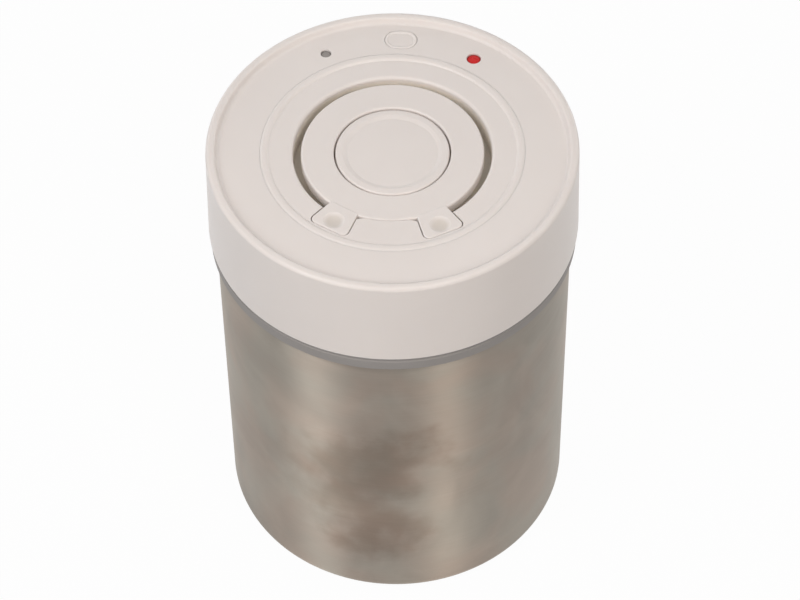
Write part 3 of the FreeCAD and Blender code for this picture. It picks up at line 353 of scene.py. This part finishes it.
def clean_unshaded_share(tree, spot):
    """1 on clean steel, falling to 0 in the middle of each smudge; the smudges are partly handling
    marks and partly painted shade.
    """
    waver = put(tree, "TexNoise", Vector=spot, Scale=SMUDGE_AND_SHADE_WAVER, Detail=4.0)
    centred = put(tree, "VectorMath", {"operation": "SUBTRACT"}, i0=waver.outputs["Color"],
                  i1=(0.5, 0.5, 0.5))
    push = put(tree, "VectorMath", {"operation": "SCALE"}, i0=centred.outputs[0],
               Scale=SMUDGE_AND_SHADE_RAGGED)
    ragged = put(tree, "VectorMath", {"operation": "ADD"}, i0=spot, i1=push.outputs[0]).outputs[0]
    left = 1.0
    for turn, height, reach in SMUDGES_AND_SHADE:
        middle = heading(math.radians(turn), 0.0) * CAN_RADIUS + Vector((0, 0, height * MM))
        away = put(tree, "VectorMath", {"operation": "DISTANCE"}, i0=ragged, i1=middle)
        mask = put(tree, "MapRange", {"interpolation_type": "SMOOTHSTEP"},
                   Value=away.outputs["Value"], From_Min=SMUDGE_AND_SHADE_CORE * reach * MM,
                   From_Max=reach * MM)
        left = put(tree, "Math", {"operation": "MULTIPLY"}, i0=left, i1=mask.outputs[0]).outputs[0]
    return left


def steel_finish():
    """Brushed steel: a smear across the brushing, faint lines, smudges that are partly painted
    shade, and a clear film.
    """
    steel, tree, shader = fresh_material("brushed_steel")
    spot = put(tree, "TexCoord").outputs["Object"]
    drift = put(tree, "TexNoise", Vector=spot, Scale=PATCH_SCALE, Detail=3.0, Roughness=0.55,
                Distortion=0.6)
    level = put(tree, "MapRange", Value=drift.outputs["Fac"], From_Min=NOISE_LOW,
                From_Max=NOISE_HIGH, To_Min=PATCH_LEVELS[0], To_Max=PATCH_LEVELS[1])
    aside = put(tree, "Mapping", Vector=spot, Location=BLUSH_SHIFT)
    blush = put(tree, "TexNoise", Vector=aside.outputs[0], Scale=BLUSH_SCALE, Detail=2.0,
                Distortion=0.4)
    hue = put(tree, "MapRange", Value=blush.outputs["Fac"], From_Min=BLUSH_BAND[0],
              From_Max=BLUSH_BAND[1])
    tint = put(tree, "MixRGB", Fac=hue.outputs[0], Color1=shade(STEEL_OLIVE),
               Color2=shade(STEEL_ROSE))
    clean = put(tree, "MixRGB", {"blend_type": "MULTIPLY"}, Fac=1.0, Color1=tint.outputs[0],
                Color2=level.outputs[0])
    # The smudges darken the colour: partly handling marks, partly painted shade.
    smudge_and_shade = put(tree, "MixRGB", Fac=clean_unshaded_share(tree, spot), Color1=shade(SMUDGE_AND_SHADE_TINT),
                  Color2=shade(1.0))
    colour = put(tree, "MixRGB", {"blend_type": "MULTIPLY"}, Fac=1.0, Color1=clean.outputs[0],
                 Color2=smudge_and_shade.outputs[0])
    squeeze = put(tree, "Mapping", Vector=spot, Scale=LINE_SQUEEZE)
    lines = put(tree, "TexNoise", Vector=squeeze.outputs[0], Scale=1.0, Detail=2.0)
    rough = put(tree, "MapRange", Value=lines.outputs["Fac"], From_Min=NOISE_LOW,
                From_Max=NOISE_HIGH, To_Min=LINE_ROUGHNESS[0], To_Max=LINE_ROUGHNESS[1])
    groove = put(tree, "Bump", Strength=0.06, Distance=LINE_DEPTH, Height=lines.outputs["Fac"])
    along = put(tree, "Tangent", {"direction_type": "UV_MAP", "uv_map": "surface_map"})
    feed(tree, shader, Metallic=1.0, Anisotropic=0.95, Base_Color=colour.outputs[0],
         Roughness=rough.outputs[0], Normal=groove.outputs[0], Tangent=along.outputs[0],
         Coat_Weight=FILM_SHARE, Coat_Roughness=FILM_ROUGHNESS)
    return steel


print("smudges on the wall", len(SMUDGES_AND_SHADE))

# %% [markdown]
# The can is drawn from one sheet of steel, with a rolled rim and a bottom that is pushed up in the
# middle, so that it stands on a ring. One profile goes out along the underside, up the wall, over
# the rim and back down the inside.

# %% Turn the can
can_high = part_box("canister_body")[1]
CAN_WALL = 0.8 * MM
CAN_CORNER = 4.5 * MM
FOOT_RADIUS = 56.0 * MM
FOOT_RISE = 2.0 * MM
FOOT_SLOPE = 4.0 * MM
FOOT_ROUND = 1.0 * MM
FOOT_HOLLOW_ROUND = 2.0 * MM
RIM_DEPTH = 2.2 * MM
RIM_ROUND = 0.5 * MM
rim_radius = can_high.x
can_top = can_high.z
can_profile = rounded([
    (0, FOOT_RISE),
    (FOOT_RADIUS - FOOT_SLOPE, FOOT_RISE, FOOT_HOLLOW_ROUND),
    (FOOT_RADIUS, 0, FOOT_ROUND),
    (CAN_RADIUS, 0, CAN_CORNER),
    (CAN_RADIUS, can_top - RIM_DEPTH),
    (rim_radius, can_top - RIM_DEPTH, RIM_ROUND),
    (rim_radius, can_top, RIM_ROUND),
    (CAN_RADIUS - CAN_WALL, can_top),
    (CAN_RADIUS - CAN_WALL, CAN_WALL, CAN_CORNER - CAN_WALL),
    (FOOT_RADIUS, CAN_WALL, FOOT_ROUND),
    (FOOT_RADIUS - FOOT_SLOPE, CAN_WALL + FOOT_RISE, FOOT_HOLLOW_ROUND),
    (0, CAN_WALL + FOOT_RISE),
])
can = turned("steel_can", can_profile, segments=320)
can.data.materials.append(steel_finish())
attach(can, "canister")
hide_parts("canister_body")

# %% [markdown]
# The lid, its panel, the ring and the button are the same warm off-white plastic with a fine satin
# grain from the mould. A plain colour would look like paint, so a cloudy noise shifts the tint a
# little and a fine one gives the grain. Pale plastic also lets light sink in and come out about a
# millimetre away, which softens its edges and seams: the shader's subsurface does that. Deep in the
# ring's well, light that bounces from wall to wall turns tan. The render loses more light there
# than the picture does, so the panel has a version with that bounce light painted into its colour:
# it grows paler and creamier with depth. The two dimples of the ring, where a thumb presses, have
# painted shade: their colour grows darker towards the middle.

# %% Moulded plastic
LID_TINT = (0.76, 0.704, 0.674)
# Painted bounce light: the colour the panel takes deep in the well.
WELL_BOUNCE_LIGHT = (0.97, 0.885, 0.785)
WELL_DEPTHS = (174.4 * MM, 176.3 * MM)
LIGHT_REACH = 0.9 * MM
LIGHT_SPREAD = (1.0, 0.95, 0.9)
DIMPLE_RADIUS = 3.75 * MM
DIMPLES = [(18.16 * MM, -33.04 * MM), (-18.16 * MM, -33.04 * MM)]
# Painted shade: the colour in the middle of each dimple.
DIMPLE_SHADE_TINT = (0.67, 0.61, 0.56)
DIMPLE_SHADE_CORE = 0.5
CLOUD_SCALE = 30.0
CLOUD_SHADES = (0.965, 1.03)
SPECK_SCALE = 3200.0
SATIN_SPREAD = (0.05, 0.06)
SHELL_ROUGHNESS = 0.42
SHELL_MILK = 0.5


def plastic_finish(name, tint, rough, grain=0.02 * MM, milky=0.0, painted_bounce=None, shaded_dimples=()):
    """Moulded plastic: a cloudy tint with the grain of the mould.

    Milky plastic lets light sink in, painted bounce light grows paler and creamier with depth, and
    each shaded dimple place (x, y) has painted shade that darkens it towards its middle."""
    made, tree, shader = fresh_material(name)
    spot = put(tree, "TexCoord").outputs["Object"]
    cloud = put(tree, "TexNoise", Vector=spot, Scale=CLOUD_SCALE, Detail=2.0)
    darker, lighter = [[min(1.0, c * s) for c in tint] for s in CLOUD_SHADES]
    colour = put(tree, "MixRGB", Fac=cloud.outputs["Fac"], Color1=shade(darker),
                 Color2=shade(lighter)).outputs[0]
    # Painted bounce light: the colour grows paler and creamier with depth.
    if painted_bounce:
        height = put(tree, "SeparateXYZ", Vector=spot).outputs["Z"]
        depth = put(tree, "MapRange", Value=height, From_Min=WELL_DEPTHS[0],
                    From_Max=WELL_DEPTHS[1], To_Min=1.0, To_Max=0.0)
        colour = put(tree, "MixRGB", Fac=depth.outputs[0], Color1=colour,
                     Color2=shade(painted_bounce)).outputs[0]
    flat = put(tree, "VectorMath", {"operation": "MULTIPLY"}, i0=spot, i1=(1, 1, 0)).outputs[0]
    # Painted shade: each dimple grows darker towards its middle.
    for x, y in shaded_dimples:
        away = put(tree, "VectorMath", {"operation": "DISTANCE"}, i0=flat, i1=(x, y, 0))
        clear = put(tree, "MapRange", {"interpolation_type": "SMOOTHSTEP"},
                    Value=away.outputs["Value"], From_Min=DIMPLE_SHADE_CORE * DIMPLE_RADIUS,
                    From_Max=DIMPLE_RADIUS)
        colour = put(tree, "MixRGB", Fac=clear.outputs[0], Color1=shade(DIMPLE_SHADE_TINT),
                     Color2=colour).outputs[0]
    speck = put(tree, "TexNoise", Vector=spot, Scale=SPECK_SCALE, Detail=2.0)
    satin = put(tree, "MapRange", Value=speck.outputs["Fac"], From_Min=NOISE_LOW,
                From_Max=NOISE_HIGH, To_Min=rough - SATIN_SPREAD[0], To_Max=rough + SATIN_SPREAD[1])
    bump = put(tree, "Bump", Strength=0.4, Distance=grain, Height=speck.outputs["Fac"])
    feed(tree, shader, Base_Color=colour, Roughness=satin.outputs[0], Normal=bump.outputs[0],
         Subsurface_Weight=milky, Subsurface_Radius=LIGHT_SPREAD, Subsurface_Scale=LIGHT_REACH)
    return made


shell_look = {"tint": LID_TINT, "rough": SHELL_ROUGHNESS, "milky": SHELL_MILK}
lid_plastic = plastic_finish("lid_plastic", **shell_look)
# The panel's plastic, with painted bounce light deep in the well.
well_plastic_painted_bounce = plastic_finish("well_plastic_painted_bounce", painted_bounce=WELL_BOUNCE_LIGHT, **shell_look)
# The ring's plastic, with painted shade in its two dimples.
ring_plastic = plastic_finish("ring_plastic", shaded_dimples=DIMPLES, **shell_look)
print("lid tint", LID_TINT, "well bounce light", WELL_BOUNCE_LIGHT)

# %% [markdown]
# The pump starts with a small key at the back of the lid. It has round ends and a shallow finger
# dish inside a raised border. Its solid is a plain plate, so a new piece takes its place: the
# profile of half the key, carried round a stretched axis.

# %% The start key
KEY_LIP = 0.8 * MM
KEY_LIP_WALL = 1.2 * MM
KEY_EDGE = 0.35 * MM
KEY_BORDER = 0.75 * MM
KEY_DISH = 0.35 * MM
KEY_SLOPE = 0.5 * MM
key_low, key_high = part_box("start_button")
key_size = key_high - key_low
key_half = key_size.y / 2 - KEY_LIP
key_profile = rounded([
    (0, key_low.z),
    (key_half + KEY_LIP, key_low.z),
    (key_half + KEY_LIP, key_low.z + KEY_LIP_WALL),
    (key_half, key_low.z + KEY_LIP_WALL),
    (key_half, key_high.z, KEY_EDGE),
    (key_half - KEY_BORDER, key_high.z, KEY_EDGE),
    (key_half - KEY_BORDER - KEY_SLOPE, key_high.z - KEY_DISH, KEY_EDGE),
    (0, key_high.z - KEY_DISH),
], steps=6, guard=0.03 * MM)
key = turned("start_key", key_profile, segments=96, middle=((key_low + key_high) / 2)[:2],
             stretch=(key_size.x - key_size.y) / 2)
key.data.materials.append(lid_plastic)
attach(key, "start")
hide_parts("start_button")

# %% [markdown]
# Two lamps show what the pump is doing. Each is a clear light guide whose end looks up through a
# hole in the lid: a red one, and a grey one that is off. The end is a low dome, set just below
# the surface. It looks darker towards its edge, where less light comes back out of the guide, so
# the tint follows the map's length along the profile, which counts up to the middle of the dome.

# %% The lenses
LENS_LIP = 0.8 * MM
LENS_LIP_WALL = 0.8 * MM
LENS_LIP_TOP = 175.2 * MM
LENS_CROWN = 0.35 * MM
LENS_STEPS = 16
LENS_TINTS = {"red_lens": (0.58, 0.012, 0.012), "grey_lens": (0.29, 0.265, 0.25)}
RIM_SHADE = 0.5
RIM_INNER = 0.7
HAZE_SCALE = 900.0
LENS_ROUGHNESS = (0.2, 0.36)


def lens_finish(name, tint, length, reach):
    """Tinted clear plastic: the tint grows from a dark rim over a reach, at the end of a length."""
    made, tree, shader = fresh_material(name)
    along = put(tree, "UVMap", {"uv_map": "surface_map"})
    u = put(tree, "SeparateXYZ", Vector=along.outputs[0]).outputs["X"]
    inner = put(tree, "MapRange", {"interpolation_type": "SMOOTHSTEP"}, Value=u,
                From_Min=length - reach, From_Max=length - RIM_INNER * reach)
    colour = put(tree, "MixRGB", Fac=inner.outputs[0], Color1=shade([c * RIM_SHADE for c in tint]),
                 Color2=shade(tint))
    spot = put(tree, "TexCoord").outputs["Object"]
    haze = put(tree, "TexNoise", Vector=spot, Scale=HAZE_SCALE, Detail=2.0)
    gloss = put(tree, "MapRange", Value=haze.outputs["Fac"], To_Min=LENS_ROUGHNESS[0],
                To_Max=LENS_ROUGHNESS[1])
    feed(tree, shader, Base_Color=colour.outputs[0], Roughness=gloss.outputs[0],
         Specular_IOR_Level=0.3)
    return made


def light_guide(node, tint):
    """A stepped round guide with a domed end: the dome's height falls with the square of r."""
    low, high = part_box(node)
    radius = (high.x - low.x) / 2 - LENS_LIP
    r = np.linspace(radius, 0, LENS_STEPS)
    dome = np.c_[r, high.z - LENS_CROWN * (r / radius) ** 2]
    lip_low = LENS_LIP_TOP - LENS_LIP_WALL
    steps = [(0, low.z), (radius, low.z), (radius, lip_low), (radius + LENS_LIP, lip_low),
             (radius + LENS_LIP, LENS_LIP_TOP), (radius, LENS_LIP_TOP)]
    profile = np.r_[steps, dome]
    length = lengths(profile)[-1]
    piece = turned(node + "_dome", profile, segments=64, middle=((low + high) / 2)[:2])
    piece.data.materials.append(lens_finish(node + "_plastic", tint, length, radius))
    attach(piece, "lid")
    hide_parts(node)


for name, tint in LENS_TINTS.items():
    light_guide(name, tint)

# %% [markdown]
# Every other solid keeps its own shape and gets a finish by the name of its material slot. Metal
# is the plastic recipe with the shader's metal switched on, so that its sheen is patchy too.

# %% Finishes for the other solids


def metal_finish(name, tint, rough):
    """Plain plated metal: a patchy sheen over one tint."""
    made = plastic_finish(name, tint, rough, grain=0.01 * MM)
    made.node_tree.nodes["Principled BSDF"].inputs["Metallic"].default_value = 1.0
    return made


finishes = {
    "shell": lid_plastic,
    "tray": plastic_finish("tray_plastic", (0.72, 0.68, 0.64), 0.5),
    "gasket": plastic_finish("grey_rubber", (0.268, 0.249, 0.238), 0.62, grain=0.04 * MM),
    "seal": plastic_finish("pale_rubber", (0.52, 0.5, 0.48), 0.6, grain=0.04 * MM),
    "fastener": metal_finish("zinc_plate", (0.55, 0.55, 0.57), 0.34),
    "spring": metal_finish("drawn_wire", (0.6, 0.6, 0.62), 0.24),
    "contact": metal_finish("nickel_strip", (0.62, 0.6, 0.55), 0.28),
    "cell": plastic_finish("cell_sleeve", (0.05, 0.05, 0.06), 0.35),
    "board": plastic_finish("board_mask", (0.02, 0.09, 0.04), 0.3),
    "component": plastic_finish("black_moulding", (0.02, 0.02, 0.022), 0.4),
    "led": plastic_finish("clear_epoxy", (0.7, 0.7, 0.64), 0.12),
    "pump": plastic_finish("dark_plastic", (0.05, 0.05, 0.053), 0.45),
    "motor": metal_finish("motor_can", (0.5, 0.5, 0.52), 0.3),
    "filter": plastic_finish("felt", (0.7, 0.68, 0.62), 0.9, grain=0.2 * MM),
}
for part in nodes.values():
    for place in part.material_slots:
        if place.material and place.material.name in finishes:
            place.material = finishes[place.material.name]
nodes["centre_panel"].material_slots[0].material = well_plastic_painted_bounce
nodes["handle_ring"].material_slots[0].material = ring_plastic
print("finishes", len(finishes))

# %% [markdown]
# Under the release button sits a coil spring. It is a round wire carried along a helix. The packed
# spring is stiff, and the pressed button would pass through it, so this one takes its place.

# %% The release spring
SPRING_WIRE = 0.45 * MM
SPRING_TURNS = 4
SPRING_STEPS = 36
WIRE_SIDES = 12
spring_low, spring_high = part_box("release_spring")


def coil(name, radius, wire, low, high):
    """A wire on a helix: at turn t its middle is (radius cos t, radius sin t, low + wire + rise t).

    The ring of points round the middle lies across the wire. It shrinks to a point at both ends."""
    t = np.linspace(0, 2 * math.pi * SPRING_TURNS, SPRING_TURNS * SPRING_STEPS + 1)
    t = np.r_[t[0], t, t[-1]][:, None]
    thick = np.r_[0, np.full(len(t) - 2, wire), 0][:, None, None]
    rise = (high - low - 2 * wire) / t[-1, 0]
    middle = np.c_[radius * np.cos(t), radius * np.sin(t), low + wire + rise * t][:, None]
    out = np.c_[np.cos(t), np.sin(t), 0 * t]
    way = np.c_[-radius * np.sin(t), radius * np.cos(t), rise + 0 * t]
    up = np.cross(out, way / np.linalg.norm(way, axis=1)[:, None])
    a = np.linspace(0, 2 * math.pi, WIRE_SIDES, endpoint=False)[None, :, None]
    ring = np.cos(a) * out[:, None] - np.sin(a) * up[:, None]
    return gridded(name, (middle + thick * ring)[None], lengths(middle[:, 0]))


spring = coil("return_spring", radius=spring_high.x - SPRING_WIRE, wire=SPRING_WIRE,
              low=spring_low.z, high=spring_high.z)
spring.data.materials.append(finishes["spring"])
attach(spring, "lid")
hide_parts("release_spring")
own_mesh(spring)

# %% [markdown]
# With the lid off, its underside shows two kinds of screw: four hold the tray to the lid, and four
# hold the two battery doors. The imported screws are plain, so new ones take their place, with a low
# dome on the head and a cross for the driver. One turned screw is made as an array, the cross is
# pressed into its head by a formula, and the array is copied to the four corners.

# %% The screws
FACE_ROWS = 26
SCREW_SEGMENTS = 96
HEAD_EDGE = 0.25 * MM
DOME_SHARE = 0.5
EDGE_SHARE = 1.5
CROSS_REACH = 0.62
CROSS_WIDTH = 0.22
CROSS_SLOPE = 0.1
CROSS_DEPTH = 0.6


def cross_screws(name, node, head_radius, head_height, shank_radius):
    """Four screws, heads down: the head's face rises into the head along a cross.

    Along one arm of the cross the depth falls from full to none over a slope at its sides and its
    end, and the deeper of the two arms counts. All lengths of the cross are shares of the head."""
    low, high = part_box(node)
    r = np.linspace(0, head_radius - HEAD_EDGE, FACE_ROWS)
    face = np.c_[r, low.z + DOME_SHARE * HEAD_EDGE * (r / head_radius) ** 2]
    head_top = low.z + head_height
    rest = [(head_radius, low.z + EDGE_SHARE * HEAD_EDGE), (head_radius, head_top),
            (shank_radius, head_top), (shank_radius, high.z), (0, high.z)]
    profile = np.r_[face, rest]
    turn = np.linspace(0, 2 * math.pi, SCREW_SEGMENTS, endpoint=False)
    x, y = profile[:, :1] * np.cos(turn), profile[:, :1] * np.sin(turn)

    def arm(across, along):
        """The share of the full depth along one arm."""
        slope = CROSS_SLOPE * head_radius
        side = np.clip((CROSS_WIDTH * head_radius - abs(across)) / slope, 0, 1)
        end = np.clip((CROSS_REACH * head_radius - abs(along)) / slope, 0, 1)
        return np.minimum(side, end)

    pressed = CROSS_DEPTH * head_height * np.maximum(arm(x, y), arm(y, x))
    pressed[FACE_ROWS:] = 0
    one = np.stack([x, y, profile[:, 1:] + pressed], -1)
    corner_x, corner_y = high.x - head_radius, high.y - head_radius
    places = np.array([(sx * corner_x, sy * corner_y, 0) for sx in (-1, 1) for sy in (-1, 1)])
    piece = gridded(name, one + places[:, None, None], lengths(profile))
    piece.data.materials.append(finishes["fastener"])
    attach(piece, "lid")
    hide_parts(node)


cross_screws("tray_screws", "base_screws", head_radius=2.47 * MM, head_height=1.3 * MM,
             shank_radius=1.3 * MM)
cross_screws("hatch_screws", "door_screws", head_radius=1.9 * MM, head_height=1.0 * MM,
             shank_radius=1.0 * MM)
